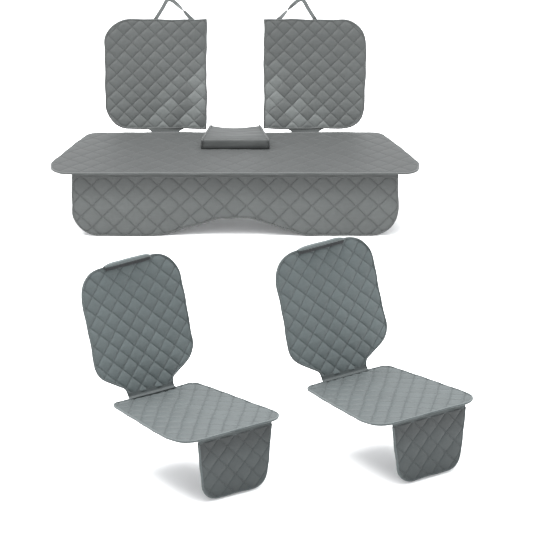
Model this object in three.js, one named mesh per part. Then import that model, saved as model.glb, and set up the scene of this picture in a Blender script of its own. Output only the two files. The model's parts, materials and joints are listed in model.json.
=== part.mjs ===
import * as THREE from 'three';

// Seat cover set: one cover for a rear bench and two covers for front bucket seats.
// Millimetres, +Z up. The origin is the centre of the bench cushion's underside.
// Every panel is a sewn sandwich: backing cloth, foam padding, quilted face cloth and
// an edge binding. A panel is drawn in its own frame: X across, Y along it, Z out of
// its face.

// Panel sandwich
const BACKING = 1.0;
const FOAM = 4.4;
const FACE = 1.2;
const GAP = 0.3;
const BINDING = 6.0;
const THICK = BACKING + GAP + FOAM + GAP + FACE;
const FACE_BASE = THICK - FACE;
const FOAM_BASE = BACKING + GAP;

// Fold lines: a panel starts this far from the line it folds about
const FOLD_CLEAR = 8;
const SKIRT_AXIS_DROP = 2;
const SKIRT_AXIS_INSET = 2.5;

// Rear bench
const BENCH = { half: 735, rearHalf: 585, depth: 485, shoulder: 122 };
const BENCH_RADII = { front: 75, shoulder: 60, rear: 50 };
const BENCH_SKIRT = { half: 650, drop: 258, cornerR: 110 };
const ARCH = { footHalf: 285, topHalf: 62, rise: 72, footR: 130, topR: 90 };
const REAR_BACK = { inner: 113.5, outer: 528, lowOuter: 516, height: 440, topR: 100, lowR: 95 };
const REAR_BACK_LEAN = 18;
const REAR_BACK_AXIS = { y: BENCH.depth / 2 + 7.5, z: 9 };
const TUCK_TAB = { from: 228, to: 332, length: 27, thick: 2, cornerR: 12 };
const LOOP = { inner: 172, outer: 320, peak: 266, height: 86, width: 16, thick: 2, footGap: 8 };
// The loop's centreline: [share of its height, X] from the outer foot over to the inner
const LOOP_ROUTE = [
  [0, LOOP.outer],
  [0.5, LOOP.outer - 24],
  [0.88, LOOP.peak + 13],
  [1, LOOP.peak - 2],
  [0.9, LOOP.peak - 19],
  [0.5, LOOP.inner + 38],
  [0, LOOP.inner],
];
const FLAP = { rearHalf: 106, frontHalf: 141, rear: 236, depth: 205, rearTop: 42, frontTop: 49 };
const FLAP_FOLD = { sheet: 2.5, lowCorner: 5, topCorner: 7, innerCorner: 3, padFront: 10 };

// Front covers
const FRONT_TURN = 38;
const FRONT_PLACES = { front_left: [-316, -2748], front_right: [429, -2560] };
const SEAT = { depth: 522, rearHalf: 204, midHalf: 242, frontHalf: 252, noseHalf: 246, nose: 110 };
const SEAT_RADII = { front: 68, nose: 60, side: 200, rear: 42 };
const SEAT_SKIRT = { topHalf: 180, lowHalf: 152, drop: 252, cornerR: 74 };
const FRONT_BACK = { half: 240, height: 503, neckHalf: 110, neckFlare: 4, shoulderY: 96, neckY: 23 };
const FRONT_BACK_RADII = { foot: 8, neck: 24, shoulder: 92, top: 112 };
const FRONT_BACK_LEAN = 17.5;
const FRONT_BACK_AXIS = { y: 6, z: 12 };
const HEADREST_FLAP = { half: 112, thick: 5 };
// The flap's centreline: [forward, up] from the middle of the backrest's top edge
const HEADREST_CURL = [[-3, 4.5], [3, 9], [11, 7], [15, -2], [14, -17]];
const STRAP = { width: 25, thick: 1.6, level: 300, behind: 2.4, endHalf: 226 };
const BUCKLE = { width: 34, thick: 7, socket: [-26, 8], plug: [8.4, 32], freeStart: 56 };
const ANCHOR = { top: 6, drop: 62, strip: 2, rollR: 7, half: 20, frontHalf: 62, benchX: 420 };

const CORNER_STEP = 20;
const rad = THREE.MathUtils.degToRad;

const COLOURS = {
  face: { color: 0x7d8583, roughness: 0.62 },
  padding: { color: 0xcfccc2, roughness: 0.95 },
  backing: { color: 0x4b4e50, roughness: 0.9 },
  binding: { color: 0x6b7373, roughness: 0.7 },
  cloth: { color: 0x788180, roughness: 0.7 },
  webbing: { color: 0x5e6666, roughness: 0.85 },
  plastic: { color: 0x1d1f20, roughness: 0.45 },
};

function mesh(name, geometry, colour) {
  const material = new THREE.MeshStandardMaterial({ ...COLOURS[colour], metalness: 0 });
  const piece = new THREE.Mesh(geometry, material);
  piece.name = name;
  return piece;
}

// An anticlockwise outline from corners [x, y, radius], each rounded by an arc.
function outline(corners) {
  const points = [];
  corners.forEach(([x, y, radius], i) => {
    const corner = new THREE.Vector2(x, y);
    const [px, py] = corners[(i + corners.length - 1) % corners.length];
    const [nx, ny] = corners[(i + 1) % corners.length];
    const back = new THREE.Vector2(px - x, py - y).normalize();
    const ahead = new THREE.Vector2(nx - x, ny - y).normalize();
    if (!radius) {
      points.push(corner);
      return;
    }
    const half = Math.acos(THREE.MathUtils.clamp(back.dot(ahead), -1, 1)) / 2;
    const centre = back.clone().add(ahead).setLength(radius / Math.sin(half)).add(corner);
    const reach = radius / Math.tan(half);
    const first = back.clone().multiplyScalar(reach).add(corner).sub(centre);
    const last = ahead.clone().multiplyScalar(reach).add(corner).sub(centre);
    const sweep = Math.atan2(first.cross(last), first.dot(last));
    const steps = Math.max(2, Math.ceil(Math.abs(THREE.MathUtils.radToDeg(sweep)) / CORNER_STEP));
    for (let k = 0; k <= steps; k += 1) {
      const spoke = first.clone().rotateAround(new THREE.Vector2(), (sweep * k) / steps);
      points.push(spoke.add(centre));
    }
  });
  return points;
}

// The right half's corners, then the same corners mirrored back to the start.
function mirrored(half) {
  return [...half, ...half.toReversed().map(([x, y, radius]) => [-x, y, radius])];
}

// The outline moved inwards by a distance, each corner mitred.
function inset(points, distance) {
  return points.map((point, i) => {
    const before = points[(i + points.length - 1) % points.length];
    const after = points[(i + 1) % points.length];
    const edgeIn = point.clone().sub(before).normalize();
    const edgeOut = after.clone().sub(point).normalize();
    const normalIn = new THREE.Vector2(-edgeIn.y, edgeIn.x);
    const normalOut = new THREE.Vector2(-edgeOut.y, edgeOut.x);
    const mitre = normalIn.clone().add(normalOut).normalize();
    return point.clone().addScaledVector(mitre, distance / mitre.dot(normalIn));
  });
}

function plate(points, base, top, hole) {
  const shape = new THREE.Shape(points);
  if (hole) {
    shape.holes.push(new THREE.Path(hole));
  }
  const geometry = new THREE.ExtrudeGeometry(shape, { depth: top - base, bevelEnabled: false });
  return geometry.translate(0, 0, base);
}

// The four sewn layers of one panel, as four separate pieces.
function panel(name, corners) {
  const edge = outline(corners);
  const seam = inset(edge, BINDING);
  const field = inset(edge, BINDING + GAP);
  const group = new THREE.Group();
  group.add(
    mesh(`${name}_backing`, plate(field, 0, BACKING), 'backing'),
    mesh(`${name}_padding`, plate(field, FOAM_BASE, FOAM_BASE + FOAM), 'padding'),
    mesh(`${name}_face`, plate(field, FACE_BASE, THICK), 'face'),
    mesh(`${name}_binding`, plate(edge, 0, THICK, seam), 'binding'),
  );
  return group;
}

// A section drawn across (X is depth, Y is height), extruded sideways from -half to half.
// Depth becomes -Y (towards the front) and height becomes +Z.
function sidewaysBar(section, half) {
  const geometry = plate(section, -half, half);
  geometry.applyMatrix4(new THREE.Matrix4().makeBasis(
    new THREE.Vector3(0, -1, 0),
    new THREE.Vector3(0, 0, 1),
    new THREE.Vector3(-1, 0, 0),
  ));
  return geometry;
}

// A skirt panel hangs below the line where it folds at a cushion's front edge.
function hangingSkirt(name, corners, frontEdge) {
  const skirt = panel(name, corners);
  skirt.rotation.x = rad(90);
  skirt.position.y = frontEdge + SKIRT_AXIS_INSET + THICK / 2;
  return skirt;
}

// A group whose Y runs up a backrest that leans back, with Z out of its face and the
// middle of its thickness at Z = 0.
function leaningGroup(axis, lean) {
  const group = new THREE.Group();
  group.rotation.x = rad(90 - lean);
  group.position.set(0, axis.y, axis.z);
  return group;
}

// A strip with a roll at its lower end, pushed through the seat gap to hold the cover.
function tuckAnchor(name, halfWidth) {
  const rollTop = -ANCHOR.drop + Math.sqrt(ANCHOR.rollR ** 2 - (ANCHOR.strip / 2) ** 2);
  const section = [
    new THREE.Vector2(ANCHOR.strip / 2, ANCHOR.top),
    new THREE.Vector2(-ANCHOR.strip / 2, ANCHOR.top),
    new THREE.Vector2(-ANCHOR.strip / 2, rollTop),
  ];
  const halfMouth = Math.asin(ANCHOR.strip / 2 / ANCHOR.rollR);
  const steps = 12;
  for (let k = 1; k < steps; k += 1) {
    const angle = Math.PI / 2 + halfMouth + (2 * (Math.PI - halfMouth) * k) / steps;
    section.push(new THREE.Vector2(
      ANCHOR.rollR * Math.cos(angle),
      -ANCHOR.drop + ANCHOR.rollR * Math.sin(angle),
    ));
  }
  section.push(new THREE.Vector2(ANCHOR.strip / 2, rollTop));
  return mesh(name, sidewaysBar(section, halfWidth), 'cloth');
}

function benchCushion() {
  const front = -BENCH.depth / 2;
  const group = panel('bench', mirrored([
    [BENCH.half, front, BENCH_RADII.front],
    [BENCH.half, front + BENCH.shoulder, BENCH_RADII.shoulder],
    [BENCH.rearHalf, -front, BENCH_RADII.rear],
  ]));
  for (const [side, sign] of [['left', -1], ['right', 1]]) {
    const anchor = tuckAnchor(`bench_anchor_${side}`, ANCHOR.half);
    anchor.position.set(sign * ANCHOR.benchX, BENCH.depth / 2 + GAP + ANCHOR.strip / 2, 0);
    group.add(anchor);
  }
  return group;
}

// The bench skirt hangs over the seat base, with an arch over the floor tunnel.
function benchSkirt() {
  const top = -SKIRT_AXIS_DROP - FOLD_CLEAR;
  const low = -BENCH_SKIRT.drop;
  return hangingSkirt('bench_skirt', mirrored([
    [ARCH.topHalf, low + ARCH.rise, ARCH.topR],
    [ARCH.footHalf, low, ARCH.footR],
    [BENCH_SKIRT.half, low, BENCH_SKIRT.cornerR],
    [BENCH_SKIRT.half, top, 0],
  ]), -BENCH.depth / 2);
}

// The centre flap: one sheet folded over a pad, lying on the bench between the backs.
function centreFlap() {
  const low = THICK + GAP;
  const widen = (geometry) => {
    const place = geometry.attributes.position;
    for (let i = 0; i < place.count; i += 1) {
      const t = -place.getY(i) / FLAP.depth;
      const half = FLAP.rearHalf + (FLAP.frontHalf - FLAP.rearHalf) * t;
      place.setX(i, place.getX(i) * half);
    }
    return geometry.translate(0, FLAP.rear, 0);
  };
  const { sheet, lowCorner, topCorner, innerCorner, padFront } = FLAP_FOLD;
  const front = FLAP.depth;
  const inner = front - sheet;
  const cover = [
    new THREE.Vector2(0, low),
    new THREE.Vector2(front - lowCorner, low),
    new THREE.Vector2(front, low + lowCorner),
    new THREE.Vector2(front, FLAP.frontTop - topCorner),
    new THREE.Vector2(front - topCorner, FLAP.frontTop),
    new THREE.Vector2(0, FLAP.rearTop),
    new THREE.Vector2(0, FLAP.rearTop - sheet),
    new THREE.Vector2(front - topCorner - 1, FLAP.frontTop - sheet),
    new THREE.Vector2(inner, FLAP.frontTop - topCorner - 1),
    new THREE.Vector2(inner, low + sheet + innerCorner),
    new THREE.Vector2(inner - innerCorner, low + sheet),
    new THREE.Vector2(0, low + sheet),
  ];
  const padLow = low + sheet + GAP;
  const padding = [
    new THREE.Vector2(0, padLow),
    new THREE.Vector2(front - padFront, padLow),
    new THREE.Vector2(front - padFront, FLAP.frontTop - sheet - 2 * GAP),
    new THREE.Vector2(0, FLAP.rearTop - sheet - 2 * GAP),
  ];
  const group = new THREE.Group();
  group.add(
    mesh('centre_flap_cover', widen(sidewaysBar(cover, 1)), 'cloth'),
    mesh('centre_flap_padding', widen(sidewaysBar(padding, 1 - GAP / FLAP.rearHalf)), 'padding'),
  );
  return group;
}

// The webbing loop that slips over a headrest: a band that stands on the top edge and
// comes to a rounded peak nearer its outer foot.
function headrestLoop(name, sign) {
  const foot = FOLD_CLEAR + REAR_BACK.height + LOOP.footGap;
  const peak = FOLD_CLEAR + REAR_BACK.height + LOOP.height - LOOP.width / 2;
  const route = LOOP_ROUTE.map(([share, x]) => (
    new THREE.Vector3(sign * x, foot + (peak - foot) * share, 0)
  ));
  const path = new THREE.CatmullRomCurve3(sign > 0 ? route : route.toReversed());
  const steps = 18;
  const outerSide = [];
  const innerSide = [];
  for (let k = 0; k <= steps; k += 1) {
    const point = path.getPoint(k / steps);
    const run = path.getTangent(k / steps);
    const across = new THREE.Vector2(run.y, -run.x).setLength(LOOP.width / 2);
    outerSide.push(new THREE.Vector2(point.x, point.y).add(across));
    innerSide.unshift(new THREE.Vector2(point.x, point.y).sub(across));
  }
  const band = plate([...outerSide, ...innerSide], -LOOP.thick / 2, LOOP.thick / 2);
  return mesh(name, band, 'webbing');
}

function rearBack(side, sign) {
  const name = `rear_${side}_back`;
  const low = FOLD_CLEAR;
  const high = FOLD_CLEAR + REAR_BACK.height;
  const corners = [
    [sign * REAR_BACK.inner, low, 0],
    [sign * REAR_BACK.lowOuter, low, REAR_BACK.lowR],
    [sign * REAR_BACK.outer, high, REAR_BACK.topR],
    [sign * REAR_BACK.inner, high, 0],
  ];
  const quilt = panel(name, sign > 0 ? corners : corners.toReversed());
  quilt.position.z = -THICK / 2;
  const tabLow = low - GAP - TUCK_TAB.length;
  const tab = [
    [sign * TUCK_TAB.from, tabLow, TUCK_TAB.cornerR],
    [sign * TUCK_TAB.to, tabLow, TUCK_TAB.cornerR],
    [sign * TUCK_TAB.to, low - GAP, 0],
    [sign * TUCK_TAB.from, low - GAP, 0],
  ];
  const tabEdge = outline(sign > 0 ? tab : tab.toReversed());
  const group = leaningGroup(REAR_BACK_AXIS, REAR_BACK_LEAN);
  group.add(
    quilt,
    mesh(`${name}_tuck_tab`, plate(tabEdge, -TUCK_TAB.thick / 2, TUCK_TAB.thick / 2), 'cloth'),
    headrestLoop(`rear_${side}_headrest_loop`, sign),
  );
  return group;
}

// The flap over a front headrest's base: a thick strip that curls over the top edge.
function headrestFlap(name) {
  const top = FOLD_CLEAR + FRONT_BACK.height;
  const middle = new THREE.CatmullRomCurve3(HEADREST_CURL.map(([forward, up]) => (
    new THREE.Vector3(forward, top + up, 0)
  )));
  const steps = 10;
  const upper = [];
  const lower = [];
  for (let k = 0; k <= steps; k += 1) {
    const point = middle.getPoint(k / steps);
    const run = middle.getTangent(k / steps);
    const across = new THREE.Vector2(-run.y, run.x).setLength(HEADREST_FLAP.thick / 2);
    upper.unshift(new THREE.Vector2(point.x, point.y).add(across));
    lower.push(new THREE.Vector2(point.x, point.y).sub(across));
  }
  const strip = plate([...lower, ...upper], -HEADREST_FLAP.half, HEADREST_FLAP.half);
  strip.applyMatrix4(new THREE.Matrix4().makeBasis(
    new THREE.Vector3(0, 0, 1),
    new THREE.Vector3(0, 1, 0),
    new THREE.Vector3(-1, 0, 0),
  ));
  return mesh(name, strip, 'cloth');
}

// A block across the backrest at the strap's level, from one X to another.
function block(name, [from, to], { width, thick }, colour) {
  const piece = mesh(name, new THREE.BoxGeometry(to - from, width, thick), colour);
  piece.position.set((from + to) / 2, FOLD_CLEAR + STRAP.level, 0);
  return piece;
}

// The elastic strap behind a front backrest, closed by a side-release buckle.
function backStrap(name) {
  const socket = block(`${name}_buckle_socket`, BUCKLE.socket, BUCKLE, 'plastic');
  const plug = block(`${name}_buckle_plug`, BUCKLE.plug, BUCKLE, 'plastic');
  const clear = BUCKLE.thick / 2 - STRAP.thick / 2;
  socket.position.z = -clear;
  plug.position.z = -clear;
  const fixed = [-STRAP.endHalf, BUCKLE.socket[0] - GAP];
  const free = [BUCKLE.freeStart, STRAP.endHalf];
  const group = new THREE.Group();
  group.position.z = -THICK / 2 - STRAP.behind - STRAP.thick / 2;
  group.add(
    block(`${name}_strap_fixed`, fixed, STRAP, 'webbing'),
    socket,
    plug,
    block(`${name}_strap_free`, free, STRAP, 'webbing'),
  );
  return group;
}

function frontBack(name) {
  const { half, neckHalf, neckFlare, neckY, shoulderY } = FRONT_BACK;
  const radii = FRONT_BACK_RADII;
  const low = FOLD_CLEAR;
  const high = FOLD_CLEAR + FRONT_BACK.height;
  const quilt = panel(`${name}_back`, mirrored([
    [neckHalf, low, radii.foot],
    [neckHalf + neckFlare, low + neckY, radii.neck],
    [half, low + shoulderY, radii.shoulder],
    [half, high, radii.top],
  ]));
  quilt.position.z = -THICK / 2;
  const group = leaningGroup(FRONT_BACK_AXIS, FRONT_BACK_LEAN);
  group.add(quilt, headrestFlap(`${name}_headrest_flap`), backStrap(name));
  return group;
}

function frontCushion(name) {
  const front = -SEAT.depth;
  return panel(`${name}_cushion`, mirrored([
    [SEAT.noseHalf, front, SEAT_RADII.front],
    [SEAT.frontHalf, front + SEAT.nose, SEAT_RADII.nose],
    [SEAT.midHalf, front / 2, SEAT_RADII.side],
    [SEAT.rearHalf, 0, SEAT_RADII.rear],
  ]));
}

function frontSkirt(name) {
  return hangingSkirt(`${name}_skirt`, mirrored([
    [SEAT_SKIRT.lowHalf, -SEAT_SKIRT.drop, SEAT_SKIRT.cornerR],
    [SEAT_SKIRT.topHalf, -SKIRT_AXIS_DROP - FOLD_CLEAR, 0],
  ]), -SEAT.depth);
}

function frontCover(name, [x, y]) {
  const anchor = tuckAnchor(`${name}_tuck_anchor`, ANCHOR.frontHalf);
  anchor.position.y = GAP + ANCHOR.strip / 2;
  const cover = new THREE.Group();
  cover.position.set(x, y, 0);
  cover.rotation.z = rad(FRONT_TURN);
  cover.add(frontCushion(name), frontSkirt(name), frontBack(name), anchor);
  return cover;
}

const set = new THREE.Group();
set.add(benchCushion(), benchSkirt(), centreFlap());
set.add(rearBack('left', -1), rearBack('right', 1));
for (const [name, place] of Object.entries(FRONT_PLACES)) {
  set.add(frontCover(name, place));
}

export default set;
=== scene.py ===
import json
import math
import random

import bpy
import numpy as np
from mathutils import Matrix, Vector, noise


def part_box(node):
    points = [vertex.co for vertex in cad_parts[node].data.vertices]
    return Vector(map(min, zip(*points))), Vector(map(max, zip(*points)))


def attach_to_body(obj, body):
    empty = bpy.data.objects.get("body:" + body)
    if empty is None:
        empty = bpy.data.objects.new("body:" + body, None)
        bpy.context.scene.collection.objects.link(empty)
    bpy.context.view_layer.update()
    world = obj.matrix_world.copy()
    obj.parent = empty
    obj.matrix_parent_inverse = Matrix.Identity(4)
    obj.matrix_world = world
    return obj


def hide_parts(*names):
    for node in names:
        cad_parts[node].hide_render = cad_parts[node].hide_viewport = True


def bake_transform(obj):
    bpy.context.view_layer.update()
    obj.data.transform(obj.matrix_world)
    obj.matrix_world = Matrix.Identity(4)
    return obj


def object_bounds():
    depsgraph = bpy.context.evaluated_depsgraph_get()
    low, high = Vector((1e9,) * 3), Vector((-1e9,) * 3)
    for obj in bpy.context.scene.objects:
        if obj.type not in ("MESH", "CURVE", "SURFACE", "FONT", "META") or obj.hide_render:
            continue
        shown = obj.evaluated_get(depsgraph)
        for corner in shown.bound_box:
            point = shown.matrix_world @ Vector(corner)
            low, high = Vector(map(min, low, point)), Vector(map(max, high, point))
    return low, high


# Seat cover set. Every panel is measured from its CAD plates and rebuilt as sewn, padded,
# quilted cloth with edge tape, lining and thread. Metres, in the frame's own axes.
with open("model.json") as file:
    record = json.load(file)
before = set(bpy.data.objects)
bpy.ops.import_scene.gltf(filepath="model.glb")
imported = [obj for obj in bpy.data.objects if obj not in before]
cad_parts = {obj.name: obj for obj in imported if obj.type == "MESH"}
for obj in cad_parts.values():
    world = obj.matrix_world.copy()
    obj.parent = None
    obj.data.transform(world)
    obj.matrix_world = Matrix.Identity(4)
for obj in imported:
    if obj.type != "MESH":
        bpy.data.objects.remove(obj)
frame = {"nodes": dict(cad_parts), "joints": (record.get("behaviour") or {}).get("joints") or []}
CAD_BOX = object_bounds()
JOINTS = {j["name"]: j for j in frame["joints"]}
MM = 0.001

# ---------------------------------------------------------------- the view
VIEW_TARGET = Vector((0.125, -1.31, 0.0))
VIEW_ELEVATION = math.radians(20)
VIEW_DISTANCE = 72.0
PIXELS_PER_METRE = 255.0
SENSOR = 36.0
FRAME_PIXELS = 533.0
FLOOR_HALF = 60.0
FLOOR_DROP = 1.5 * MM

# ---------------------------------------------------------------- sewn cloth, shared sizes
TAPE_WIDTH = 7.6 * MM
TAPE_PROUD = 0.7 * MM
PILLOW_LEVEL = 8.6 * MM
QUILT_BASE = 2.0 * MM
LINING_TOP = 1.7 * MM
EDGE_SOFT = 13.0 * MM
TAPE_OVERLAP = 3.5 * MM
STITCH = 4.2 * MM
STITCH_PITCH = 6.0 * MM
THREAD_RADIUS = 0.38 * MM
OUTLINE_STEP = 7 * MM
PULL = 1.3 * MM
# how far from a sewn edge a panel's waves reach their full height
SKIRT_FADE = 80 * MM
BACK_FADE = 120 * MM
CALM_REACH = 160 * MM

# Per panel, which is named after its body: the hinge whose axis runs across it, the side of
# its diamonds, how far their pillows rise, the height of its waves and the edge without tape
PANELS = {
    "bench": ("bench_skirt_fold", 62 * MM, 1.6 * MM, 1.4 * MM, None),
    "bench_skirt": ("bench_skirt_fold", 62 * MM, 5.8 * MM, 2.8 * MM, "top"),
    "rear_left_back": ("rear_left_back_fold", 44 * MM, 3.0 * MM, 2.4 * MM, None),
    "rear_right_back": ("rear_right_back_fold", 44 * MM, 3.0 * MM, 2.4 * MM, None),
}
COVERS = ("front_left", "front_right")
for cover in COVERS:
    fold = f"{cover}_back_fold"
    PANELS[f"{cover}_cushion"] = (fold, 54 * MM, 4.8 * MM, 2.6 * MM, None)
    PANELS[f"{cover}_skirt"] = (fold, 58 * MM, 2.8 * MM, 2.6 * MM, "top")
    PANELS[f"{cover}_back"] = (fold, 53 * MM, 5.2 * MM, 3.2 * MM, "bottom")


# ================================================================ materials
class Graph:
    """A material's node tree, with short calls to add and join nodes."""

    def __init__(self, name):
        self.material = bpy.data.materials.new(name)
        self.material.use_nodes = True
        self.tree = self.material.node_tree
        self.shader = self.tree.nodes["Principled BSDF"]
        self.coords = self.tree.nodes.new("ShaderNodeTexCoord").outputs["Object"]

    def add(self, kind, inputs=None, **settings):
        node = self.tree.nodes.new(kind)
        for key, value in settings.items():
            setattr(node, key, value)
        for key, value in (inputs or {}).items():
            if isinstance(value, bpy.types.NodeSocket):
                self.tree.links.new(value, node.inputs[key])
            else:
                node.inputs[key].default_value = value
        return node

    def noise(self, scale, detail=3.0, coords=None):
        inputs = {"Vector": coords or self.coords, "Scale": scale, "Detail": detail}
        return self.add("ShaderNodeTexNoise", inputs).outputs["Fac"]

    def stretched(self, scale):
        return self.add("ShaderNodeMapping", {"Vector": self.coords, "Scale": scale}).outputs["Vector"]

    def spread(self, value, low, high):
        inputs = {"Value": value, "To Min": low, "To Max": high, "From Min": 0.3, "From Max": 0.7}
        return self.add("ShaderNodeMapRange", inputs).outputs["Result"]

    def maths(self, operation, first, second):
        return self.add("ShaderNodeMath", {0: first, 1: second}, operation=operation).outputs[0]

    def mix(self, factor, first, second):
        colours = [c if isinstance(c, bpy.types.NodeSocket) else (*c, 1.0) for c in (first, second)]
        inputs = {0: factor, 6: colours[0], 7: colours[1]}
        return self.add("ShaderNodeMix", inputs, data_type="RGBA").outputs[2]

    def shades(self, factor, colour, dark, light, *layers):
        """A colour that goes from dark to light with a factor, then changes with each layer."""
        base = self.mix(factor, np.multiply(colour, dark), np.multiply(colour, light))
        for value, low, high in layers:
            base = self.shade(base, self.spread(value, low, high))
        return base

    def wave(self, scale, distortion, coords=None, **settings):
        inputs = {"Vector": coords or self.coords, "Scale": scale, "Distortion": distortion}
        return self.add("ShaderNodeTexWave", inputs, **settings).outputs["Fac"]

    def shade(self, colour, brightness):
        inputs = {"Color": colour, "Value": brightness}
        return self.add("ShaderNodeHueSaturation", inputs).outputs["Color"]

    def bumps(self, *layers):
        """One bump node after another, from rows of (height, distance, strength)."""
        earlier = {}
        for height, distance, strength in layers:
            inputs = {"Height": height, "Distance": distance, "Strength": strength}
            earlier["Normal"] = self.add("ShaderNodeBump", inputs | earlier).outputs["Normal"]
        return earlier["Normal"]

    def finish(self, colour, roughness, normal, **constants):
        for key, value in (("Base Color", colour), ("Roughness", roughness), ("Normal", normal)):
            self.tree.links.new(value, self.shader.inputs[key])
        for key, value in constants.items():
            self.shader.inputs[key.replace("_", " ")].default_value = value
        return self.material


CLOTH_SHEEN = {"Sheen_Weight": 0.12, "Sheen_Roughness": 0.45, "Specular_IOR_Level": 0.3}


def quilted_cloth(name, colour, groove_grime_and_shade=0.8):
    """Brushed synthetic cloth: fine grain, faint streaks, and painted shade with a little grime in the
    stitched grooves.
    """
    g = Graph(name)
    tone = g.add("ShaderNodeAttribute", attribute_name="tone").outputs["Fac"]
    seam = g.add("ShaderNodeAttribute", attribute_name="seam").outputs["Fac"]
    grain = g.noise(1100.0, 2.0)
    streak = g.noise(1.0, 4.0, g.stretched((34.0, 34.0, 150.0)))
    cloud = g.noise(7.0, 4.0)
    base = g.shades(cloud, colour, 0.94, 1.06, (streak, 0.95, 1.05), (grain, 0.93, 1.07))
    # the seam mask paints shade, with a little grime, into the grooves; tone adds random diamond tone and
    # painted light and shade
    base = g.shade(g.mix(seam, base, np.multiply(colour, groove_grime_and_shade)), tone)
    rough = g.maths("ADD", g.spread(grain, 0.5, 0.62), g.maths("MULTIPLY", seam, 0.15))
    weave = g.add("ShaderNodeTexVoronoi", {"Vector": g.coords, "Scale": 620.0}).outputs["Distance"]
    wrinkle = g.noise(95.0, 3.0)
    normal = g.bumps((weave, 0.12 * MM, 0.6), (streak, 0.6 * MM, 0.35), (wrinkle, 0.8 * MM, 0.5))
    return g.finish(base, rough, normal, **CLOTH_SHEEN)


def plain_cloth(name, colour):
    """The same cloth unquilted, with fine creases."""
    g = Graph(name)
    grain = g.noise(1100.0, 2.0)
    crease = g.noise(1.0, 5.0, g.stretched((16.0, 60.0, 60.0)))
    base = g.shades(g.noise(14.0), colour, 0.9, 1.08, (crease, 0.9, 1.08), (grain, 0.94, 1.06))
    normal = g.bumps((grain, 0.12 * MM, 0.6), (crease, 1.6 * MM, 0.5))
    return g.finish(base, g.spread(crease, 0.5, 0.66), normal, **CLOTH_SHEEN)


def woven_tape(name, colour, ribs=520.0):
    """Edge tape: fine diagonal twill ribs with fuzz."""
    g = Graph(name)
    inputs = {"Vector": g.coords, "Rotation": (0.5, 0.35, 0.78)}
    turned = g.add("ShaderNodeMapping", inputs).outputs["Vector"]
    twill = g.wave(ribs / (2 * math.pi), 1.5, turned)
    fuzz = g.noise(900.0)
    wear = g.noise(24.0, 4.0)
    base = g.shades(twill, colour, 0.82, 1.1, (fuzz, 0.9, 1.1), (wear, 0.92, 1.08))
    normal = g.bumps((twill, 0.25 * MM, 0.8), (fuzz, 0.1 * MM, 0.6))
    return g.finish(base, g.spread(wear, 0.62, 0.78), normal, Sheen_Weight=0.2, Specular_IOR_Level=0.35)


def lining_cloth(name, colour, dots):
    """Non-slip lining: dark cloth printed with small raised rubber dots."""
    g = Graph(name)
    cell = g.add("ShaderNodeTexVoronoi", {"Vector": g.coords, "Scale": 125.0, "Randomness": 0.1})
    edge = {"From Min": 0.22, "From Max": 0.3, "To Min": 1.0, "To Max": 0.0}
    dot = g.add("ShaderNodeMapRange", {"Value": cell.outputs["Distance"], **edge}).outputs["Result"]
    fuzz = g.noise(800.0)
    base = g.mix(dot, g.shades(g.noise(9.0), colour, 0.88, 1.1, (fuzz, 0.88, 1.12)), dots)
    normal = g.bumps((fuzz, 0.15 * MM, 0.6), (dot, 0.5 * MM, 0.8))
    rough = g.maths("SUBTRACT", g.spread(fuzz, 0.82, 0.94), g.maths("MULTIPLY", dot, 0.35))
    return g.finish(base, rough, normal, Specular_IOR_Level=0.35)


def thread(name, colour):
    """Twisted polyester thread."""
    g = Graph(name)
    twist = g.wave(420.0, 0.6)
    base = g.shades(twist, colour, 0.8, 1.15)
    return g.finish(base, g.spread(twist, 0.42, 0.6), g.bumps((twist, 0.1 * MM, 1.0)), Sheen_Weight=0.1)


def webbing_cloth(name, colour):
    """Narrow woven webbing, ribbed both ways."""
    g = Graph(name)
    across = g.wave(190.0, 0.4, bands_direction="Z")
    along = g.wave(110.0, 0.3, bands_direction="X")
    weave = g.maths("MULTIPLY", across, along)
    base = g.shades(weave, colour, 0.7, 1.15, (g.noise(40.0), 0.92, 1.08))
    rough = g.spread(g.noise(600.0), 0.65, 0.85)
    return g.finish(base, rough, g.bumps((weave, 0.35 * MM, 0.9)), Sheen_Weight=0.3)


def moulded_plastic(name, colour):
    """Matt moulded plastic with a spark-eroded grain and rubbed patches."""
    g = Graph(name)
    grain = g.noise(1500.0, 2.0)
    rub = g.noise(60.0, 5.0)
    base = g.shades(rub, colour, 0.85, 1.35)
    normal = g.bumps((grain, 0.06 * MM, 0.7))
    return g.finish(base, g.spread(rub, 0.34, 0.5), normal, Specular_IOR_Level=0.5)


REAR_GREY = np.array((0.0500, 0.0540, 0.0530))
FRONT_GREY = np.array((0.0545, 0.0670, 0.0680))
# lit and shaded copies of one cloth: each panel's multiplier is painted light and shade, set for how
# bright that panel looks under the light
CLOTH = {
    "bench": quilted_cloth("bench_cushion_cloth", REAR_GREY * 0.46, 0.95),
    "bench_skirt": quilted_cloth("bench_skirt_cloth", REAR_GREY * 0.92, 0.84),
    "rear_back": quilted_cloth("rear_back_cloth", REAR_GREY),
    "front_cushion": quilted_cloth("front_cushion_cloth", FRONT_GREY * 0.62),
    "front_back": quilted_cloth("front_back_cloth", FRONT_GREY),
    "front_skirt": quilted_cloth("front_skirt_cloth", FRONT_GREY * 0.41),
}
TAPE = {
    "flap": woven_tape("centre_flap_tape", REAR_GREY * 0.42),
    "rear": woven_tape("rear_edge_tape", REAR_GREY * 0.8),
    "front": woven_tape("front_edge_tape", FRONT_GREY * 0.8),
}
PLAIN = {
    "rear": plain_cloth("rear_plain_cloth", REAR_GREY * 0.92),
    "front": plain_cloth("front_plain_cloth", FRONT_GREY * 0.85),
    "flap": plain_cloth("centre_flap_cloth", REAR_GREY * 0.5),
}
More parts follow.
